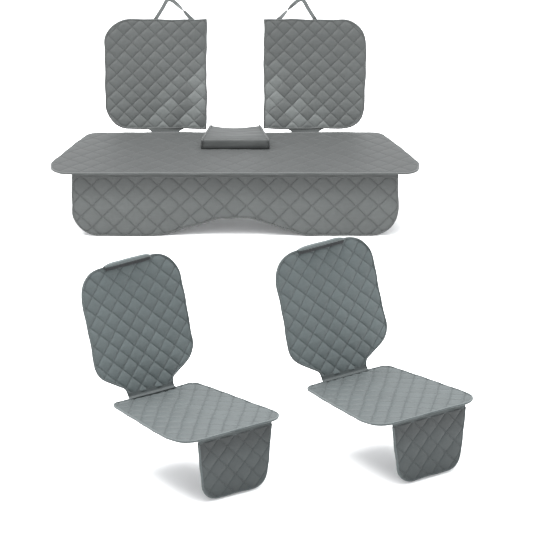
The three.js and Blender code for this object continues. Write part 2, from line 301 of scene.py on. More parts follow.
# the same cloth darkened for the bends where panels join: painted shade under the cushions' front edges
# and in the necks
SHADED_FOLD = {
    "rear": plain_cloth("rear_fold_painted_shade", REAR_GREY * 0.46),
    "front": plain_cloth("front_fold_painted_shade", FRONT_GREY * 0.5),
}
LINING = lining_cloth("non_slip_lining", (0.021, 0.023, 0.024), (0.009, 0.009, 0.010))
THREAD = {
    "rear": thread("rear_thread", REAR_GREY),
    "front": thread("front_thread", FRONT_GREY),
}
WEBBING = webbing_cloth("headrest_webbing", (0.056, 0.062, 0.062))
ELASTIC = webbing_cloth("elastic_strap", (0.015, 0.016, 0.017))
PLASTIC = moulded_plastic("buckle_plastic", (0.010, 0.0105, 0.011))


# ================================================================ mesh helpers
def make_piece(name, verts, faces, material, smooth=True):
    mesh = bpy.data.meshes.new(name)
    mesh.from_pydata([tuple(v) for v in verts], [], [tuple(int(i) for i in f) for f in faces])
    mesh.validate()
    mesh.update()
    if smooth:
        mesh.shade_smooth()
    mesh.materials.append(material)
    piece = bpy.data.objects.new(name, mesh)
    bpy.context.scene.collection.objects.link(piece)
    return piece


def set_attribute(piece, name, values):
    """A value for each upper point of a slab, and the same for the lower point below it."""
    layer = piece.data.attributes.new(name, "FLOAT", "POINT")
    layer.data.foreach_set("value", np.tile(values, 2).astype(np.float32))


def attach(piece, body, slot, *stands_for):
    """A piece that rides one body and takes the place of CAD nodes. Its slot is not used."""
    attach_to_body(piece, body)
    if stands_for:
        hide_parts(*stands_for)


def bridge(piece, first, second, near_first, near_second, slot, *stands_for):
    """A piece fixed where it stands, taking the place of CAD nodes. Its bodies first and second, their
    places near_first and near_second, and its slot are not used.
    """
    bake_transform(piece)
    if stands_for:
        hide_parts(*stands_for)


def tube_faces(rings, ring):
    """Quads between successive rings of points."""
    faces = []
    for i in range(rings - 1):
        for k in range(ring):
            a = i * ring + k
            b = i * ring + (k + 1) % ring
            faces.append((a, b, b + ring, a + ring))
    return faces


def swept(name, rings, material, closed=False):
    """A skin through equal rings of points: closed on itself, or capped at both ends."""
    rings = np.asarray(rings)
    count, size = rings.shape[0], rings.shape[1]
    verts = rings.reshape(-1, 3)
    faces = tube_faces(count, size)
    if closed:
        last = (count - 1) * size
        faces += [(last + k, last + (k + 1) % size, (k + 1) % size, k) for k in range(size)]
    else:
        faces.append(tuple(range(size))[::-1])
        faces.append(tuple(range((count - 1) * size, count * size)))
    return outwards(make_piece(name, verts, faces, material))


def triangles_of(mesh):
    """A mesh's points, and the point numbers of each of its triangles."""
    mesh.calc_loop_triangles()
    points = np.empty(len(mesh.vertices) * 3)
    mesh.vertices.foreach_get("co", points)
    return points.reshape(-1, 3), np.array([t.vertices for t in mesh.loop_triangles])


def outwards(piece):
    """Turns the faces of a closed piece to point out of it."""
    points, triangles = triangles_of(piece.data)
    a, b, c = (points[triangles[:, k]] - points.mean(axis=0) for k in range(3))
    if np.einsum("ij,ij->i", a, np.cross(b, c)).sum() < 0:
        piece.data.flip_normals()
    return piece


def smoothstep(t):
    t = np.clip(t, 0.0, 1.0)
    return t * t * (3 - 2 * t)


def unit(v):
    """A vector, or each row of an array of them, at length one."""
    return v / np.linalg.norm(v, axis=-1, keepdims=True)


def lengths_along(points):
    """Distance along a polyline at each of its points."""
    return np.concatenate([[0], np.cumsum(np.linalg.norm(np.diff(points, axis=0), axis=1))])


def points_along(points, lengths, at):
    """Places on a polyline at distances along it."""
    return np.stack([np.interp(at, lengths, column) for column in points.T], axis=1)


def squircle(count, power_across, power_up):
    """A flattened ring of (x, y) within plus and minus one: low powers give squarer sides."""
    angles = np.linspace(0, 2 * math.pi, count, endpoint=False)
    c, s = np.cos(angles), np.sin(angles)
    return np.sign(c) * np.abs(c) ** power_across, np.sign(s) * np.abs(s) ** power_up


# ================================================================ reading a panel from its CAD plates
def merged_triangles(node):
    """The points of a CAD node, each only once, and its triangles."""
    points, triangles = triangles_of(frame["nodes"][node].data)
    places, index = np.unique(np.round(points / (0.02 * MM)).astype(int), axis=0, return_inverse=True)
    merged = np.zeros((len(places), 3))
    merged[index.reshape(-1)] = points
    return merged, index.reshape(-1)[triangles]


def cap_loops(points, triangles, heights, level):
    """The closed edge loops of the flat cap at one height, longest first."""
    on = np.abs(heights - level) < 0.05 * MM
    caps = [t for t in triangles if on[t].all()]
    edges = {(t[k], t[(k + 1) % 3]) for t in caps for k in range(3)}
    following = {a: b for a, b in edges if (b, a) not in edges}
    loops = []
    while following:
        start, nxt = following.popitem()
        loop = [start]
        while nxt != start:
            loop.append(nxt)
            nxt = following.pop(nxt)
        loops.append(points[loop])
    return sorted(loops, key=lambda q: -np.ptp(q, axis=0).sum())


SHARP_TURN = math.radians(32)
LONG_SIDE = 2.5


def smooth_loop(corners, step):
    """A rounded outline from a faceted one: arcs become curves, sharp corners stay sharp."""
    count = len(corners)
    ahead = np.roll(corners, -1, axis=0) - corners
    length = np.linalg.norm(ahead, axis=1)
    direction = ahead / length[:, None]
    before = np.roll(direction, 1, axis=0)
    turn = np.arccos(np.clip((before * direction).sum(axis=1), -1, 1))
    outgoing, incoming = direction.copy(), before.copy()
    for i in range(count):
        if turn[i] > SHARP_TURN:
            continue
        back_len, ahead_len = length[i - 1], length[i]
        if ahead_len > LONG_SIDE * back_len:
            tangent = direction[i]
        elif back_len > LONG_SIDE * ahead_len:
            tangent = before[i]
        else:
            tangent = unit(before[i] * ahead_len + direction[i] * back_len)
        outgoing[i] = incoming[i] = tangent
    points = []
    for i in range(count):
        j = (i + 1) % count
        pieces = max(1, round(length[i] / step))
        t = (np.arange(pieces) / pieces)[:, None]
        m0, m1 = outgoing[i] * length[i], incoming[j] * length[i]
        points.append(
            (2 * t**3 - 3 * t**2 + 1) * corners[i]
            + (t**3 - 2 * t**2 + t) * m0
            + (-2 * t**3 + 3 * t**2) * corners[j]
            + (t**3 - t**2) * m1
        )
    return np.concatenate(points)


def inward_normals(loop):
    """Unit inward direction at each point of an anticlockwise loop, and its mitre factor."""
    before = unit(loop - np.roll(loop, 1, axis=0))
    after = unit(np.roll(loop, -1, axis=0) - loop)
    left = np.stack([-before[:, 1], before[:, 0]], axis=1)
    right = np.stack([-after[:, 1], after[:, 0]], axis=1)
    mitre = unit(left + right)
    factor = 1 / np.clip((mitre * left).sum(axis=1), 0.5, 1.0)
    return mitre, factor


def distance_to(points, polyline, closed=True):
    """Distance from each point to a polyline, and the nearest place on it."""
    start = polyline if closed else polyline[:-1]
    end = np.roll(polyline, -1, axis=0) if closed else polyline[1:]
    best = np.full(len(points), np.inf)
    nearest = np.zeros((len(points), 2))
    for a, b in zip(start, end):
        run = b - a
        square = run @ run
        if square < 1e-14:
            continue
        t = np.clip(((points - a) @ run) / square, 0, 1)
        place = a + t[:, None] * run
        gap = ((points - place) ** 2).sum(axis=1)
        closer = gap < best
        best[closer] = gap[closer]
        nearest[closer] = place[closer]
    return np.sqrt(best), nearest


def inside(points, loop):
    x, y = points[:, 0], points[:, 1]
    result = np.zeros(len(points), dtype=bool)
    for (x1, y1), (x2, y2) in zip(loop, np.roll(loop, -1, axis=0)):
        if y1 == y2:
            continue
        crosses = (y1 > y) != (y2 > y)
        result ^= crosses & (x < (x2 - x1) * (y - y1) / (y2 - y1) + x1)
    return result


class Panel:
    """One sewn panel: its axes, outline, edge that has no tape, and gentle waviness."""

    def __init__(self, name):
        self.name = name
        self.kind = name.replace("left_", "").replace("right_", "")
        hinge, self.pitch, self.rise, self.wave_height, self.bare = PANELS[name]
        face, plates = merged_triangles(f"{name}_face")
        backing, _ = merged_triangles(f"{name}_backing")
        points, triangles = merged_triangles(f"{name}_binding")
        a, b, c = (face[plates[:, k]] for k in range(3))
        areas = np.cross(b - a, c - a)
        normal = unit(areas[np.argmax(np.linalg.norm(areas, axis=1))])
        if normal @ (face.mean(axis=0) - backing.mean(axis=0)) < 0:
            normal = -normal
        across = unit(np.array(JOINTS[hinge]["axis"]))
        self.n = normal
        self.u = across if across[0] > 0 else -across
        self.v = np.cross(self.n, self.u)
        heights = points @ self.n
        self.base = heights.min()
        self.thick = heights.max() - self.base
        flat = np.stack([points @ self.u, points @ self.v], axis=1)
        corners = cap_loops(flat, triangles, heights, heights.max())[0]
        self.low, self.high = corners.min(axis=0), corners.max(axis=0)
        self.centre = (self.low + self.high) / 2
        self.outline = smooth_loop(corners, OUTLINE_STEP)
        self.mitre, self.factor = inward_normals(self.outline)
        limit = {"top": self.high[1], "bottom": self.low[1]}.get(self.bare)
        self.untaped = np.zeros(len(self.outline), dtype=bool)
        if limit is not None:
            self.untaped = np.abs(self.outline[:, 1] - limit) < 0.4 * MM
        rnd = random.Random(name)
        self.ripples = [(rnd.uniform(5, 13), rnd.uniform(5, 13), rnd.uniform(0, 6.3)) for _ in range(4)]

    def inset(self, distance, bare_distance=0.0):
        reach = np.where(self.untaped, bare_distance, distance)
        return self.outline + self.mitre * (self.factor * reach)[:, None]

    def taped_run(self):
        """Indices of the taped part of the outline, in order, and whether it is the whole loop."""
        if not self.untaped.any():
            return np.arange(len(self.outline)), True
        count = len(self.outline)
        start = next(i for i in range(count) if self.untaped[i - 1] and not self.untaped[i])
        order = [(start + k) % count for k in range(-1, count)]
        kept = [order[0]]
        for i in order[1:]:
            kept.append(i)
            if self.untaped[i]:
                break
        return np.array(kept), False

    def wave(self, uv):
        """How far the whole sandwich strays from flat, fading out at the fold line."""
        u, v = (uv - self.centre).T
        total = sum(np.sin(p * u + q * v + r) for p, q, r in self.ripples) / 2
        return total * self.wave_height * self.fade(uv) * self.calm(uv)

    def calm(self, uv):
        """Less waviness along a cushion's front edge, where the skirt's seam holds it straight."""
        if self.bare is not None or "back" in self.name:
            return 1.0
        return 0.12 + 0.88 * smoothstep((uv[:, 1] - self.low[1]) / CALM_REACH)

    def fade(self, uv):
        """1 over most of the panel, falling to 0 at an edge that is sewn to the next panel."""
        if self.bare == "top":
            return smoothstep((self.high[1] - uv[:, 1]) / SKIRT_FADE)
        if self.bare == "bottom":
            return smoothstep((uv[:, 1] - self.low[1]) / BACK_FADE)
        return np.ones(len(uv))

    def pulled(self, uv):
        """Places after the stitching has drawn the cloth in unevenly, in its own plane."""
        u, v = (uv - self.centre).T
        (_, _, r), (_, _, s), (_, _, t), _ = self.ripples
        side = np.sin(24 * v + 9 * u + r) + 0.6 * np.sin(67 * v + s)
        along = np.sin(21 * u + 8 * v + s) + 0.6 * np.sin(59 * u + t)
        return uv + PULL * (np.stack([side, along]) * self.fade(uv)).T

    def place(self, uv, height):
        """Points in the row frame for places on the panel at heights above its underside."""
        raised = self.base + height + self.wave(uv)
        uv = self.pulled(uv)
        return uv[:, :1] * self.u + uv[:, 1:] * self.v + raised[:, None] * self.n


# ================================================================ the quilting
# a pillow is solved in TILE steps along its side, in a patch of TILES by TILES pillows;
# they are solved larger than life, and their heights are then brought to between 0 and 1.15
TILE = 14
TILES = 4
SIMULATED_SIDE = 0.44
PILLOW_FRAMES = 30
PILLOW_CLOTH = {
    "vertex_group_mass": "seams",
    "quality": 8,
    "mass": 0.15,
    "tension_stiffness": 12,
    "compression_stiffness": 8,
    "shear_stiffness": 3,
    "bending_stiffness": 0.4,
    "shrink_min": -0.07,
    "use_pressure": True,
    "uniform_pressure_force": 4.0,
}
# pillow heights at which the painted shade and grime of the face's grooves and the pucker of the lining
# end
GROOVE = 0.13
LINING_GROOVE = 0.35
LINING_PUCKER = 0.9 * MM
# shares of a diamond's side where the face's and the lining's grid lines run
GRID_STEPS = (0, 0.03, 0.08, 0.15, 0.25, 0.37, 0.5, 0.63, 0.75, 0.85, 0.92, 0.97)
LINING_STEPS = (0, 0.09, 0.3, 0.5, 0.7, 0.91)


def simulated_pillows():
    """A patch of cloth held along its seams and blown up from below, one pillow per diamond."""
    side = TILE * TILES + 1
    cell = SIMULATED_SIDE / TILE
    rnd = random.Random(7)
    verts = [(i * cell, j * cell, 0.0) for i in range(side) for j in range(side)]
    faces = [
        (i * side + j, (i + 1) * side + j, (i + 1) * side + j + 1, i * side + j + 1)
        for i in range(side - 1)
        for j in range(side - 1)
    ]
    patch = make_piece("pillow_patch", verts, faces, PLASTIC)
    held = [i * side + j for i in range(side) for j in range(side) if i % TILE == 0 or j % TILE == 0]
    for vertex in patch.data.vertices:
        vertex.co.z = rnd.uniform(0.0, 0.004)
    group = patch.vertex_groups.new(name="seams")
    group.add(held, 1.0, "REPLACE")
    cloth = patch.modifiers.new("cloth", "CLOTH")
    for key, value in PILLOW_CLOTH.items():
        setattr(cloth.settings, key, value)
    cloth.settings.effector_weights.gravity = 0
    scene = bpy.context.scene
    for step in range(1, PILLOW_FRAMES + 1):
        scene.frame_set(step)
    solved = patch.evaluated_get(bpy.context.evaluated_depsgraph_get())
    z = np.abs([v.co.z for v in solved.data.vertices]).reshape(side, side)
    bpy.data.objects.remove(patch)
    scene.frame_set(1)
    z[::TILE, :] = 0
    z[:, ::TILE] = 0
    tiles = np.zeros((TILES, TILES, TILE + 1, TILE + 1))
    for i in range(TILES):
        for j in range(TILES):
            tiles[i, j] = z[i * TILE:(i + 1) * TILE + 1, j * TILE:(j + 1) * TILE + 1]
    return np.clip(tiles / np.percentile(tiles, 96), 0, 1.15)


PILLOWS = simulated_pillows()


def pillow_height(a, b):
    """Height, 0 to about 1, at places counted in diamond sides, with its own tile per diamond."""
    cell_a, cell_b = np.floor(a + 1e-9).astype(int), np.floor(b + 1e-9).astype(int)
    mixed = (cell_a * 7 + cell_b * 13 + (cell_a * cell_b) % 5) % (TILES * TILES)
    fa, fb = np.clip(a - cell_a, 0, 1) * TILE, np.clip(b - cell_b, 0, 1) * TILE
    ia, ib = np.minimum(fa.astype(int), TILE - 1), np.minimum(fb.astype(int), TILE - 1)
    ta, tb = fa - ia, fb - ib
    tile = PILLOWS.reshape(-1, TILE + 1, TILE + 1)
    return (
        tile[mixed, ia, ib] * (1 - ta) * (1 - tb)
        + tile[mixed, ia + 1, ib] * ta * (1 - tb)
        + tile[mixed, ia, ib + 1] * (1 - ta) * tb
        + tile[mixed, ia + 1, ib + 1] * ta * tb
    )


def near_seam(panel, uv, groove):
    """1 on the stitching lines, falling away up the pillows' flanks."""
    return np.exp(-((pillow_height(*to_diamonds(panel, uv)) / groove) ** 2))


def diamond_tone(a, b):
    """A brightness for each diamond: the cloth's nap lies differently in each."""
    seedling = np.sin(np.floor(a) * 12.9898 + np.floor(b) * 78.233) * 43758.5453
    chance = seedling - np.floor(seedling)
    return 0.955 + 0.09 * chance


# painted light and shade over each kind of panel: its brightness at its low end, and what it gains towards
# its high end
END_SHADES = {
    "bench": (0.91, 0.18),
    "front_cushion": (1.0, 0.0),
    "front_back": (1.08, -0.16),
    "rear_back": (1.09, -0.34),
}
# the painted sheen on some diamonds of a rear back: how far it reaches from its corner, and over what it
# fades
SHEEN_REACH = 0.36
SHEEN_FADE = 0.16


def tone_and_painted_light(panel, uv):
    """Brightness over a panel: each diamond's own nap, and painted light and shade from end to end, with a
    painted sheen on some diamonds of a rear back.
    """
    tone = diamond_tone(*to_diamonds(panel, uv))
    share = (uv[:, 1] - panel.low[1]) / (panel.high[1] - panel.low[1])
    if panel.kind.endswith("skirt"):
        # painted shade under the cushion's edge: a skirt darkens towards its top
        return tone * (1.08 - 0.54 * smoothstep(2 * share - 1))
    low_tone, gain = END_SHADES[panel.kind]
    tone = tone * (low_tone + gain * share)
    if panel.kind != "rear_back":
        return tone
    # painted sheen: some diamonds near a rear back's inner low corner are lighter
    inner_low = np.array([panel.low[0] if panel.centre[0] > 0 else panel.high[0], panel.low[1]])
    a, b = np.floor(to_diamonds(panel, uv))
    middle = np.stack([a - b, a + b], axis=1) * panel.pitch / math.sqrt(2) + panel.centre
    near = smoothstep((SHEEN_REACH - np.abs(middle - inner_low).sum(axis=1)) / SHEEN_FADE)
    return tone + 0.54 * near * (np.sin(a * 5.1 + b * 2.3) > -0.2)


def to_diamonds(panel, uv):
    u, v = (uv - panel.centre).T / (panel.pitch * math.sqrt(2))
    return u + v + 0.5, v - u + 0.5


def quilt_surface(panel, uv):
    """Height of the quilted face above the panel's underside."""
    a, b = to_diamonds(panel, uv)
    edge, _ = distance_to(uv, panel.tape_line, panel.taped_all)
    rise = smoothstep((edge - TAPE_OVERLAP * 0.5) / EDGE_SOFT)
    swell = pillow_height(a, b) ** 0.6 * (0.35 + 0.65 * rise)
    height = PILLOW_LEVEL - panel.rise + panel.rise * swell
    return height * rise + (1 - rise) * np.minimum(height, panel.thick - 1.2 * MM)


def diamond_grid(panel, steps, boundary):
    """Grid points along the diamonds that cover the boundary, clipped to it, and their quads."""
    reach = (panel.high - panel.low).sum() / (2 * math.sqrt(2) * panel.pitch)
    cells = math.ceil(reach) + 1
    line = np.array([k + s for k in range(-cells, cells) for s in steps] + [cells])
    a, b = np.meshgrid(line, line, indexing="ij")
    size = len(line)
    u = (a - b) * panel.pitch / math.sqrt(2)
    v = (a + b - 1) * panel.pitch / math.sqrt(2)
    uv = np.stack([u.ravel(), v.ravel()], axis=1) + panel.centre
    box_low, box_high = boundary.min(axis=0) - 0.02, boundary.max(axis=0) + 0.02
    near = ((uv > box_low) & (uv < box_high)).all(axis=1)
    inner = np.zeros(len(uv), dtype=bool)
    inner[near] = inside(uv[near], boundary)
    i, j = np.meshgrid(np.arange(size - 1), np.arange(size - 1), indexing="ij")
    first = (i * size + j).ravel()
    quads = np.stack([first, first + size, first + size + 1, first + 1], axis=1)
    quads = quads[inner[quads].any(axis=1)]
    used, index = np.unique(quads, return_inverse=True)
    quads = index.reshape(-1, 4)
    uv = uv[used]
    outside = ~inner[used]
    _, nearest = distance_to(uv[outside], boundary)
    uv[outside] = nearest
    return uv, quads


def closed_slab(name, top, bottom, quads, material):
    """A closed solid from a grid's upper and lower points, walled along its open edge."""
    count = len(top)
    edges = {(quad[k], quad[(k + 1) % 4]): True for quad in quads for k in range(4)}
    walls = [(b, a, a + count, b + count) for a, b in edges if (b, a) not in edges]
    under = quads[:, ::-1] + count
    faces = np.concatenate([quads, under, np.array(walls)])
    return outwards(make_piece(name, np.concatenate([top, bottom]), faces, material))


def thread_run(panel, uv, along, height, radius=THREAD_RADIUS):
    """Stitches as slim spindles, pointed at both ends, lying on the cloth."""
    middle = panel.place(uv, height)
    tip = along * (STITCH / 2)
    sunk = height - radius * 0.6
    start, end = panel.place(uv - tip, sunk), panel.place(uv + tip, sunk)
    run = unit(end - start)
    side = unit(np.cross(run, panel.n))
    rise = np.cross(side, run)
    ring = [middle + radius * d for d in (side, rise, -side, -rise)]
    return np.stack([start, *ring, end], axis=1).reshape(-1, 3)


SPINDLE = np.array(
    [(0, 1, 2), (0, 2, 3), (0, 3, 4), (0, 4, 1), (5, 2, 1), (5, 3, 2), (5, 4, 3), (5, 1, 4)]
)


def spindles(name, parts, material):
    points = np.concatenate(parts)
    count = len(points) // 6
    faces = (SPINDLE[None] + 6 * np.arange(count)[:, None, None]).reshape(-1, 3)
    return make_piece(name, points, faces, material)


def quilt_threads(panel):
    """Running stitches down every quilting groove."""
    field = panel.inset(TAPE_WIDTH + 2 * MM, 4 * MM)
    cells = math.ceil((panel.high - panel.low).sum() / (2 * math.sqrt(2) * panel.pitch)) + 1
    reach = cells * panel.pitch
    along_line = np.arange(-reach, reach, STITCH_PITCH)
    parts = []
    for direction in (1, -1):
        run = np.array([direction, 1]) / math.sqrt(2)
        for k in range(-cells, cells + 1):
            offset = (k - 0.5) * panel.pitch * np.array([1, -direction]) / math.sqrt(2)
            uv = panel.centre + offset + along_line[:, None] * run
            uv = uv[inside(uv, field)]
            if len(uv):
                along = np.tile(run, (len(uv), 1))
                parts.append(thread_run(panel, uv, along, quilt_surface(panel, uv) + 0.15 * MM))
    return parts


def tape_section(panel):
    """Round-edged section of the folded tape: distance in from the edge, and height."""
    x, y = squircle(16, 0.62, 0.62)
    across = TAPE_WIDTH / 2 * (1 - x) - 0.3 * MM
    half = panel.thick / 2 + TAPE_PROUD
    return across, panel.thick / 2 + half * y


def edge_tape(panel, colour):
    order, whole = panel.taped_run()
    base, mitre = panel.outline[order], panel.mitre[order]
    factor = panel.factor[order]
    across, heights = tape_section(panel)
    length = lengths_along(base)
    pucker = 1 + 0.05 * np.sin(length / 0.0058) * np.sin(length / 0.021) + 0.03 * np.sin(length / 0.0131)
    rings = []
    for k in range(len(base)):
        uv = base[k] + np.outer(across, mitre[k] * factor[k])
        level = panel.thick / 2 + (heights - panel.thick / 2) * pucker[k]
        rings.append(panel.place(uv, level))
    return swept(f"{panel.name}_edge_tape", rings, colour, closed=whole)


def tape_threads(panel):
    """Stitches along the tape's inner edge, on its upper side."""
    order, whole = panel.taped_run()
    inward = panel.factor[order] * (TAPE_WIDTH - 2 * MM)
    inner = panel.outline[order] + panel.mitre[order] * inward[:, None]
    if whole:
        inner = np.concatenate([inner, inner[:1]])
    length = lengths_along(inner)
    at = np.arange(STITCH_PITCH, length[-1] - STITCH_PITCH, STITCH_PITCH)
    uv = points_along(inner, length, at)
    along = unit(points_along(inner, length, at + 0.1 * MM) - uv)
    return thread_run(panel, uv, along, panel.thick + TAPE_PROUD * 0.75)


def build_panel(name):
    panel = Panel(name)
    colour = "front" if name.startswith("front") else "rear"
    order, panel.taped_all = panel.taped_run()
    panel.tape_line = panel.outline[order]
    # the quilted face, with the padding inside it
    uv, quads = diamond_grid(panel, GRID_STEPS, panel.inset(TAPE_OVERLAP))
    top = panel.place(uv, quilt_surface(panel, uv))
    base = panel.place(uv, QUILT_BASE)
    quilt = closed_slab(f"{name}_quilt", top, base, quads, CLOTH[panel.kind])
    set_attribute(quilt, "seam", near_seam(panel, uv, GROOVE))
    set_attribute(quilt, "tone", tone_and_painted_light(panel, uv))
    attach(quilt, name, "quilted_cloth", f"{name}_face", f"{name}_padding")
    # the lining under it, drawn in a little along the same seams
    uv, quads = diamond_grid(panel, LINING_STEPS, panel.inset(TAPE_OVERLAP))
    base = panel.place(uv, LINING_PUCKER * near_seam(panel, uv, LINING_GROOVE))
    lining = closed_slab(f"{name}_lining", panel.place(uv, LINING_TOP), base, quads, LINING)
    attach(lining, name, "backing_cloth", f"{name}_backing")
    width, length = panel.high - panel.low
    x, y = panel.outline.T
    area = 0.5 * abs((x * np.roll(y, -1) - y * np.roll(x, -1)).sum())
    area = min(area, width * length)
    # tape and thread
    attach(edge_tape(panel, TAPE[colour]), name, "binding_cloth", f"{name}_binding")
    stitches = spindles(f"{name}_stitches", [*quilt_threads(panel), tape_threads(panel)], THREAD[colour])
    attach(stitches, name, "binding_cloth")
    return panel


# ================================================================ strips, bands and small parts
def span(panel, node):
    """Lowest and highest place of a CAD node, in the panel's own (u, v, height) directions."""
    points, _ = merged_triangles(node)
    local = np.stack([points @ panel.u, points @ panel.v, points @ panel.n - panel.base], axis=1)
    return local.min(axis=0), local.max(axis=0)


def spot(panel, u, v, height):
    """A point from absolute (u, v, height) in the panel's directions."""
    return u * panel.u + v * panel.v + (panel.base + height) * panel.n


def spots(panel, places):
    """Points from rows of (u, v, height) in the panel's directions."""
    return np.array([spot(panel, *place) for place in places])


def smooth_path(points, count):
    """Catmull-Rom curve through the points, resampled to equal steps."""
    points = np.asarray(points, dtype=float)
    padded = np.concatenate([[2 * points[0] - points[1]], points, [2 * points[-1] - points[-2]]])
    fine = []
    for k in range(len(points) - 1):
        p0, p1, p2, p3 = padded[k:k + 4]
        t = np.linspace(0, 1, 24, endpoint=False)[:, None]
        square = (2 * p0 - 5 * p1 + 4 * p2 - p3) * t**2
        cube = (3 * p1 - p0 - 3 * p2 + p3) * t**3
        fine.append(0.5 * (2 * p1 + (p2 - p0) * t + square + cube))
    fine = np.concatenate([*fine, points[-1:]])
    length = lengths_along(fine)
    return points_along(fine, length, np.linspace(0, length[-1], count))


def grid_quads(rows, columns):
    i, j = np.meshgrid(np.arange(rows - 1), np.arange(columns - 1), indexing="ij")
    first = (i * columns + j).ravel()
    return np.stack([first, first + columns, first + columns + 1, first + 1], axis=1)


def creases(points, size, seed):
    """Smooth random values in about -1 to 1 at points in space."""
    offset = Vector((seed * 3.7, seed * 1.3, seed * 2.1))
    return np.array([noise.noise(Vector(p) / size + offset) for p in points])


def cloth_strip(name, path, across, half, thick, material, ripple=0.0, columns=40, seed=1):
    """A strip of cloth with rounded edges: swept along a path, spread across it."""
    path = np.asarray(path)
    rows = len(path)
    half = np.broadcast_to(half, (rows,))
    normal = np.cross(across, unit(np.gradient(path, axis=0)))
    t = np.sin(np.linspace(-math.pi / 2, math.pi / 2, columns))
    swell = 0.25 + 0.75 * (1 - np.abs(t) ** 16) ** 0.5
    ends = np.minimum(np.arange(rows), np.arange(rows)[::-1])
    taper = 0.45 + 0.55 * np.clip(ends / 1.5, 0, 1)
    middle = path[:, None] + half[:, None, None] * t[None, :, None] * across
    if ripple:
        bend = creases(middle.reshape(-1, 3), 0.045, seed).reshape(rows, columns)
        middle = middle + (ripple * bend)[..., None] * normal[:, None]
    lift = (thick / 2 * taper[:, None] * swell)[..., None] * normal[:, None]
    top, bottom = (middle + lift).reshape(-1, 3), (middle - lift).reshape(-1, 3)
    return closed_slab(name, top, bottom, grid_quads(rows, columns), material)


def band(name, centre, side, width, thick, material):
    """Flat webbing swept along a centreline, with its width along side at each point."""
    tangent = unit(np.gradient(centre, axis=0))
    side = unit(side - (side * tangent).sum(axis=1)[:, None] * tangent)
    normal = np.cross(tangent, side)
    x, y = squircle(16, 0.35, 0.6)
    x, y = width / 2 * x[:, None], thick / 2 * y[:, None]
    return swept(name, centre[:, None] + side[:, None] * x + normal[:, None] * y, material)


def join(name, items):
    """One piece from several, keeping their materials."""
    verts, faces, marks, slots = [], [], [], []
    for item in items:
        base = len(verts)
        verts += [v.co[:] for v in item.data.vertices]
        material = item.data.materials[0]
        if material not in slots:
            slots.append(material)
        faces += [[base + i for i in p.vertices] for p in item.data.polygons]
        marks += [slots.index(material)] * len(item.data.polygons)
    for item in items:
        bpy.data.objects.remove(item)
    piece = make_piece(name, verts, faces, slots[0])
    for material in slots[1:]:
        piece.data.materials.append(material)
    piece.data.polygons.foreach_set("material_index", marks)
    return piece


def rounded_box_outline(low, high, radius, steps=5):
    """Anticlockwise rectangle with round corners, as (x, y) points."""
    (left, lower), (right, upper) = np.array(low) + radius, np.array(high) - radius
    points = []
    for k, (x, y) in enumerate(((right, upper), (left, upper), (left, lower), (right, lower))):
        for s in range(steps + 1):
            angle = math.pi / 2 * (k + s / steps)
            points.append((x + radius * math.cos(angle), y + radius * math.sin(angle)))
    return np.array(points)


def moulded(name, panel, outline, low, high, edge, material):
    """A moulded block: an outline on the panel's plane between two heights, edges rounded over."""
    mitre, factor = inward_normals(outline)
    rings = []
    turns = np.linspace(0, math.pi / 2, 5)
    for level, sign in ((low, 1), (high, -1)):
        for angle in turns[::sign]:
            inward = edge * (1 - math.sin(angle))
            height = level + sign * edge * (1 - math.cos(angle))
            uv = outline + mitre * (factor * inward)[:, None]
            rings.append(np.array([spot(panel, u, v, height) for u, v in uv]))
    return swept(name, rings, material)


# ---------------------------------------------------------------- fold strips, where panels join
def skirt_fold(cover, upper, lower, hinge):
    """The bend of cloth that carries the skirt from under the cushion's front edge."""
    skirt = PANEL[lower]
    pivot = np.array(JOINTS[hinge]["pos_m"])
    top_v = skirt.high[1]
    pivot_v = pivot @ skirt.v
    middle = skirt.thick / 2 + 0.6 * MM
    route = [
        (top_v - 5 * MM, middle),
        (top_v - 1 * MM, middle),
        (top_v + 3 * MM, middle - 1 * MM),
        (pivot_v, middle - 1 * MM),
        (pivot_v + 4.6 * MM, middle - 1.2 * MM),
    ]
    path = smooth_path([spot(skirt, skirt.centre[0], v, h) for v, h in route], 12)
    half = (skirt.high[0] - skirt.low[0]) / 2 - 0.5 * MM
    thick = skirt.thick - 2.6 * MM
    # darkened cloth: painted shade under the cushion's front edge
    cloth = SHADED_FOLD["rear" if cover == "bench" else "front"]
    strip = cloth_strip(f"{cover}_skirt_fold", path, skirt.u, half, thick, cloth, 0.9 * MM, 160, 3)
    held, free = pivot + skirt.v * 3 * MM, pivot - skirt.v * 9 * MM
    bridge(strip, upper, lower, held, free, "plain_cloth")


def neck(cover):
    """The narrow bend where a front cover's backrest grows out of its cushion."""
    cushion, back = PANEL[f"{cover}_cushion"], PANEL[f"{cover}_back"]
    pivot = np.array(JOINTS[f"{cover}_back_fold"]["pos_m"])
    u, rear, low = back.centre[0], cushion.high[1], back.low[1]
    on_cushion = spot(cushion, u, rear - 11 * MM, cushion.thick + 0.2 * MM)
    start = spot(cushion, u, rear - 4 * MM, cushion.thick + 1.6 * MM)
    bend = spot(cushion, u, pivot @ cushion.v - 3 * MM, cushion.thick + 4 * MM)
    end = spot(back, u, low, back.thick / 2 + 0.6 * MM)
    on_back = spot(back, u, low + 9 * MM, back.thick / 2)
    path = smooth_path([on_cushion, start, bend, end, on_back], 22)
    half = np.ptp(back.outline[back.untaped][:, 0]) / 2 + 6 * MM
    # darkened cloth: painted shade in the crease between cushion and backrest
    strip = cloth_strip(f"{cover}_neck", path, back.u, half, 5.4 * MM, SHADED_FOLD["front"], 1.0 * MM, 70, 5)
    bridge(strip, f"{cover}_cushion", f"{cover}_back", start, end, "plain_cloth")


